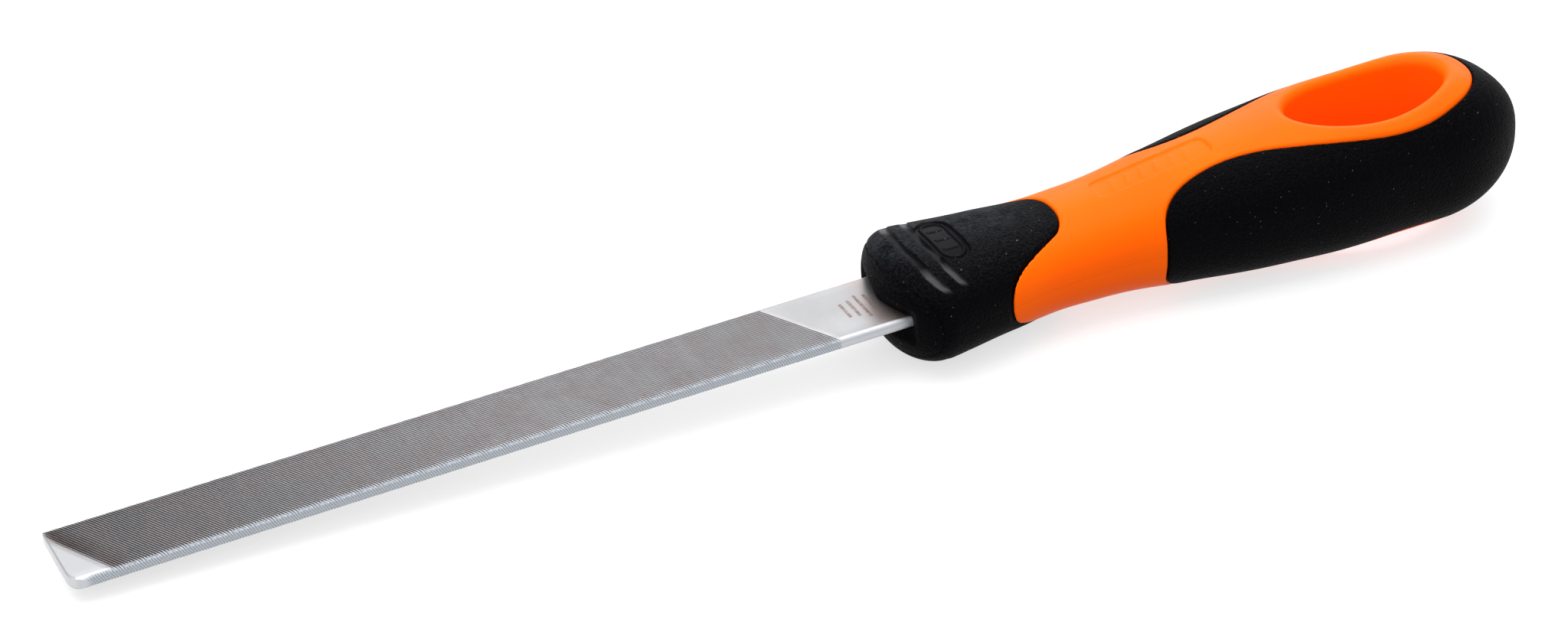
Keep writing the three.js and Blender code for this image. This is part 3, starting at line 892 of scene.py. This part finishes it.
def cut_colour(look, line, x, cloud, streak):
    """Light crests and dark gullets of painted shade, both darker near the tip, with brownish stains.
    """
    shade = tooth_shade(look, look.math("SUBTRACT", line, FIRST_TOOTH), TOOTH_PITCH)
    shade = look.times(shade, look.span(streak, 0.3, 0.7, 0.75, 1.0))
    from_tip = look.span(x, *TIP_DARKENING)
    crest = look.blend(from_tip, CREST_AT_TIP, CREST)
    # painted shade for the gullets, darker near the tip
    gullet = look.blend(from_tip, GULLET_PAINTED_SHADE_AT_TIP, GULLET_PAINTED_SHADE)
    spots = look.span(look.noise(160, detail=4, roughness=0.7), 0.42, 0.62, 0, 0.4)
    face = look.blend(shade, look.blend(spots, crest, CREST_STAIN), gullet)
    stained = look.span(line, *TIP_STAINING, 0.85, 0, smooth=True)
    return look.blend(look.times(stained, look.span(cloud, 0.25, 0.5)), face, TIP_STAIN)


def plain_colour(look, x, cloud):
    """The uncut tip corner, made lighter by painted light, and the heel with a warm tint beside the
    collar.
    """
    plain = look.blend(look.span(cloud, 0.3, 0.7), PLAIN_DARK, PLAIN_LIGHT)
    # painted light: lightens the plain tip corner
    plain = look.blend(look.span(x, *TIP_LIGHTENING, 0.75, 0), plain, PLAIN_AT_TIP_PAINTED_LIGHT)
    warm = look.span(x, *HEEL_TINTING, 0, 0.6, smooth=True)
    return look.blend(look.times(warm, look.span(cloud, 0.3, 0.55)), plain, HEEL_TINT)


def etched_bars(look, x, y, z):
    """Where the heel's plain generic etched bars are, from 0 to 1."""
    total = 0.0
    along = look.math("ABSOLUTE", look.math("SUBTRACT", y, ETCH_Y))
    for k, half in enumerate(ETCH_HALF_LENGTHS):
        from_bar = look.math("ABSOLUTE", look.math("SUBTRACT", x, ETCH_START + k * ETCH_PITCH))
        thin = look.span(from_bar, *ETCH_HALF_WIDTH, 1, 0)
        bar = look.times(thin, look.span(along, half, half + ETCH_END_FADE, 1, 0))
        total = look.math("MAXIMUM", bar, total)
    speckle = look.span(look.noise(3000, detail=2), 0.35, 0.6, 0.3, 0.9)
    return look.times(total, speckle, look.math("GREATER_THAN", z, BLADE_HALF_THICK / 2))


def edge_colour(look, x, y, z):
    """The edges' teeth, with painted shade in their gullets, between their plain ends."""
    near = look.span(y, -0.1, 0.1, 1, -1)
    line = look.math("MULTIPLY_ADD", look.times(z, near), EDGE_LEAN, x)
    begun = look.span(x, EDGE_TEETH_START, EDGE_TEETH_START + 1)
    cut = look.times(begun, look.span(x, EDGE_TEETH_END - 0.3, EDGE_TEETH_END, 1, 0))
    side = look.blend(tooth_shade(look, line, EDGE_PITCH), EDGE_CREST, EDGE_GULLET_PAINTED_SHADE)
    return look.blend(cut, EDGE_PLAIN, side)


def steel_look():
    """Hardened steel: matt grey where it is cut, with painted shade in the gullets, satin and lighter
    on the plain heel and tip, the tip's extra lightness being painted light.
    """
    look = Look("blade_steel")
    x, y, z = look.position()
    cloud = look.noise(60, detail=4)
    fine = look.noise(2600, detail=2)
    streak = look.noise(1500, stretch=(1, 0.04, 1))
    upper = look.span(z, -0.1, 0.1, -1, 1)
    line = look.math("MULTIPLY_ADD", look.times(y, upper), TOOTH_SLANT, x)
    cut = cut_zone(look, line, x, z)
    etched = etched_bars(look, x, y, z)
    face = look.blend(cut, plain_colour(look, x, cloud), cut_colour(look, line, x, cloud, streak))
    face = look.blend(etched, face, ETCHED)
    low, high = BLADE_HALF - EDGE_SIDE[0], BLADE_HALF - EDGE_SIDE[1]
    edge = look.span(look.math("ABSOLUTE", y), low, high)
    colour = look.blend(edge, face, edge_colour(look, x, y, z))
    roughness = look.span(cut, 0, 1, 0.33, 0.38)
    roughness = look.math("ADD", roughness, look.span(fine, 0.2, 0.8, 0, 0.12))
    roughness = look.math("ADD", roughness, look.times(edge, 0.15))
    roughness = look.math("ADD", roughness, look.times(etched, 0.2))
    grain = look.bump(streak, 0.00002, 0.5)
    normal = look.bump(fine, 0.00001, 0.6, grain)
    return look.finish(colour, roughness, normal, Metallic=1.0)


def orange_look():
    """Moulded plastic with a soft gloss and a faint mould line at mid height."""
    look = Look("core_plastic")
    height = look.math("ABSOLUTE", look.position()[2])
    cloud = look.noise(45)
    colour = look.blend(look.span(cloud, 0.3, 0.7), ORANGE_DARK, ORANGE_LIGHT)
    part = look.span(height, 0.0, MOULD_LINE_HALF, 0.75, 1.0, smooth=True)
    colour = look.blend(part, MOULD_LINE, colour)
    scuff = look.noise(900, detail=4, roughness=0.6)
    roughness = look.span(scuff, 0.25, 0.75, 0.32, 0.44)
    peel = look.bump(look.noise(1100, detail=2), 0.00002, 0.35)
    normal = look.bump(scuff, 0.00001, 0.3, peel)
    return look.finish(colour, roughness, normal, Specular_IOR_Level=0.045)


def rubber_colour(look, crest):
    """Black, with painted shade in the grain's hollows, crests lighter by painted light towards the
    top and far side, and dust with painted sheen on the collar's top, towards the far side.
    """
    x, y, z = look.position()
    raised = look.math("MULTIPLY_ADD", y, FAR_SIDE_LEAN, z)
    # painted light: the crests are lighter towards the top and the far side, most of all on the
    # collar
    lit = look.times(look.span(raised, *HEIGHT_LIT), look.span(x, *COLLAR_LIT, 1, 0.15))
    colour = look.blend(crest, GRAIN_HOLLOW_PAINTED_SHADE, look.blend(lit, GRAIN_CREST_IN_PAINTED_SHADE, GRAIN_CREST_IN_PAINTED_LIGHT))
    # dust with painted sheen, on the collar's top towards the far side, where the light falls
    dust_and_sheen = look.times(
        look.span(raised, *HEIGHT_DUST_AND_SHEEN, smooth=True),
        look.span(x, *COLLAR_DUST_AND_SHEEN, 1, 0.1),
        look.span(look.noise(420, detail=4, roughness=0.7), 0.35, 0.65),
        look.span(crest, 0, 1, 0.4, 0.9),
    )
    return look.blend(dust_and_sheen, colour, DUST_AND_SHEEN)


def rubber_look():
    """Black elastomer: a leather-like grain, with smooth floors in the finger grooves that get greyer
    by a painted highlight towards their ends.
    """
    look = Look("grip_rubber")
    attribute = look.nodes.new("ShaderNodeAttribute")
    attribute.attribute_name = "polish"
    smooth = attribute.outputs["Fac"]
    pebble = look.cells(2300)
    wrinkle = look.noise(1700, detail=4, roughness=0.6)
    fine = look.noise(5200, detail=2)
    crest = look.math("SUBTRACT", wrinkle, look.times(pebble, 0.35))
    colour = rubber_colour(look, look.span(crest, 0.22, 0.58))
    # painted highlight on the smooth floors towards their ends
    highlighted = look.span(look.math("ABSOLUTE", look.position()[1]), *GROOVE_HIGHLIGHT_REACH)
    colour = look.blend(smooth, colour, look.blend(highlighted, GROOVE_FLOOR_DARK, GROOVE_FLOOR_PAINTED_HIGHLIGHT))
    specks = look.span(look.noise(2100, detail=1), 0.76, 0.80, 0, 0.8)
    colour = look.blend(specks, colour, SPECK)
    height = look.math("ADD", look.times(pebble, -0.8), wrinkle)
    coarse = look.bump(look.times(height, look.math("SUBTRACT", 1.0, smooth)), 0.00022)
    normal = look.bump(fine, 0.00003, 0.5, coarse)
    roughness = look.span(wrinkle, 0.3, 0.7, 0.46, 0.62)
    roughness = look.math("MULTIPLY_ADD", smooth, -0.14, roughness)
    return look.finish(colour, roughness, normal, Specular_IOR_Level=0.024)


# ------------------------------------------------------------------ floor, light and camera

CAMERA_AZIMUTH = math.radians(-23.8465)     # round the file, from straight in front of it
CAMERA_ELEVATION = math.radians(32.9728)
CAMERA_ROLL = math.radians(-3.8338)
CAMERA_DISTANCE = 0.70468                   # metres from where it aims
CAMERA_AIM = (-0.0053, 0, 0)
CAMERA_SLIDE = (-0.00244, 0.001464)         # metres, to its right and up
CAMERA_LENS = 96.53                         # mm
SENSOR_WIDTH = 36.0
FLOOR_REACH = 4.0           # metres from its middle to its sides
FLOOR_GAP = 0.0001          # below the handle's lowest places
FLOOR_DARK = (0.32, 0.32, 0.32, 1)
FLOOR_LIGHT = (0.34, 0.34, 0.34, 1)
FLOOR_GLOW = 0.66
LAMP_AIM = (0.03, 0, 0)


def make_camera():
    azimuth, elevation, roll = CAMERA_AZIMUTH, CAMERA_ELEVATION, CAMERA_ROLL
    flat = math.cos(elevation)
    back = Vector((math.sin(azimuth) * flat, -math.cos(azimuth) * flat, math.sin(elevation)))
    right = (-back).cross(Vector((0, 0, 1))).normalized()
    up = right.cross(-back)
    across = math.cos(roll) * right + math.sin(roll) * up
    upward = math.cos(roll) * up - math.sin(roll) * right
    place_at = Vector(CAMERA_AIM) + CAMERA_DISTANCE * back
    place_at += CAMERA_SLIDE[0] * across + CAMERA_SLIDE[1] * upward
    data = bpy.data.cameras.new("camera")
    data.lens = CAMERA_LENS
    data.sensor_width = SENSOR_WIDTH
    data.clip_start = 0.01
    camera = bpy.data.objects.new("camera", data)
    turn = Matrix((across, upward, back)).transposed().to_4x4()
    camera.matrix_world = Matrix.Translation(place_at) @ turn
    bpy.context.scene.collection.objects.link(camera)
    bpy.context.scene.camera = camera


def resting_plane():
    """Height at X = 0 and slope along X of the plane that the collar and the belly lie on."""
    along = np.linspace(0, HANDLE_END - HANDLE_FRONT, 400)
    nose = rounded_quarter(1 - along / NOSE_LENGTH, NOSE_POWER_HIGH)
    tail = rounded_quarter(1 - (HANDLE_END - HANDLE_FRONT - along) / TAIL_LENGTH, TAIL_POWER)
    bottom = -half_height_at(along) * nose * tail * MM
    along = (along + HANDLE_FRONT) * MM + TIP_X
    collar = np.argmin(np.where(along < COLLAR_SIDE_END * MM + TIP_X, bottom, 0))
    belly = np.argmin(bottom)
    tilt = (bottom[belly] - bottom[collar]) / (along[belly] - along[collar])
    return np.min(bottom - tilt * along), tilt


def make_floor():
    """A plain pale floor, on which the handle lies."""
    level, tilt = resting_plane()
    level = level - FLOOR_GAP
    far = FLOOR_REACH
    corners = [(-far, -far), (far, -far), (far, far), (-far, far)]
    mesh = bpy.data.meshes.new("floor")
    mesh.from_pydata([(x, y, level + tilt * x) for x, y in corners], [], [(0, 1, 2, 3)])
    look = Look("floor")
    colour = look.blend(look.noise(3, detail=2), FLOOR_DARK, FLOOR_LIGHT)
    paper = look.bump(look.noise(400), 0.00005, 0.2)
    glow = {"Emission_Color": (1, 1, 1, 1), "Emission_Strength": FLOOR_GLOW}
    mesh.materials.append(look.finish(colour, 0.9, paper, **glow))
    floor = bpy.data.objects.new("floor", mesh)
    floor.visible_diffuse = False
    bpy.context.scene.collection.objects.link(floor)


def add_light(name, at, size, energy):
    """A soft rectangular lamp that faces the file: its place and size in metres, and its watts."""
    data = bpy.data.lights.new(name, "AREA")
    data.shape = "RECTANGLE"
    data.size, data.size_y = size
    data.energy = energy
    lamp = bpy.data.objects.new(name, data)
    direction = Vector(LAMP_AIM) - Vector(at)
    lamp.rotation_euler = direction.to_track_quat("-Z", "Y").to_euler()
    lamp.location = at
    bpy.context.scene.collection.objects.link(lamp)


SKY_HEIGHTS = (0.0, 0.8)    # Z of a direction, from the horizon up
SKY_BRIGHTNESS = (0.6, 1.2)
SKY_DEPTHS = (-0.9, 0.1)    # Y of a direction, from the front, where the studio is dimmer
SKY_FRONT_PART = (0.85, 1.0)
SKY_COLOUR = (0.97, 0.98, 1, 1)


def make_light():
    """A studio that is brightest overhead, with three large soft lamps."""
    world = bpy.data.worlds.new("studio")
    world.use_nodes = True
    nodes, links = world.node_tree.nodes, world.node_tree.links
    background = nodes["Background"]
    direction = nodes.new("ShaderNodeTexCoord").outputs["Generated"]
    split = nodes.new("ShaderNodeSeparateXYZ")
    links.new(direction, split.inputs[0])
    product = nodes.new("ShaderNodeMath")
    product.operation = "MULTIPLY"
    ramps = ((2, SKY_HEIGHTS, SKY_BRIGHTNESS), (1, SKY_DEPTHS, SKY_FRONT_PART))
    for socket, (axis, places, values) in zip(product.inputs, ramps):
        ramp = nodes.new("ShaderNodeMapRange")
        ramp.inputs["From Min"].default_value, ramp.inputs["From Max"].default_value = places
        ramp.inputs["To Min"].default_value, ramp.inputs["To Max"].default_value = values
        links.new(split.outputs[axis], ramp.inputs["Value"])
        links.new(ramp.outputs["Result"], socket)
    links.new(product.outputs[0], background.inputs["Strength"])
    background.inputs["Color"].default_value = SKY_COLOUR
    bpy.context.scene.world = world
    add_light("overhead", (0.05, 0.1, 0.9), (1.4, 0.9), 9)
    add_light("front", (-0.5, -0.8, 0.7), (1.0, 0.7), 3)
    add_light("far_side", (0.66, 0.80, 0.44), (0.8, 0.4), 3.2)
    bpy.context.scene.view_settings.view_transform = "Standard"


make_camera()
make_light()
make_floor()
make_blade(steel_look())
make_handle(orange_look(), rubber_look())
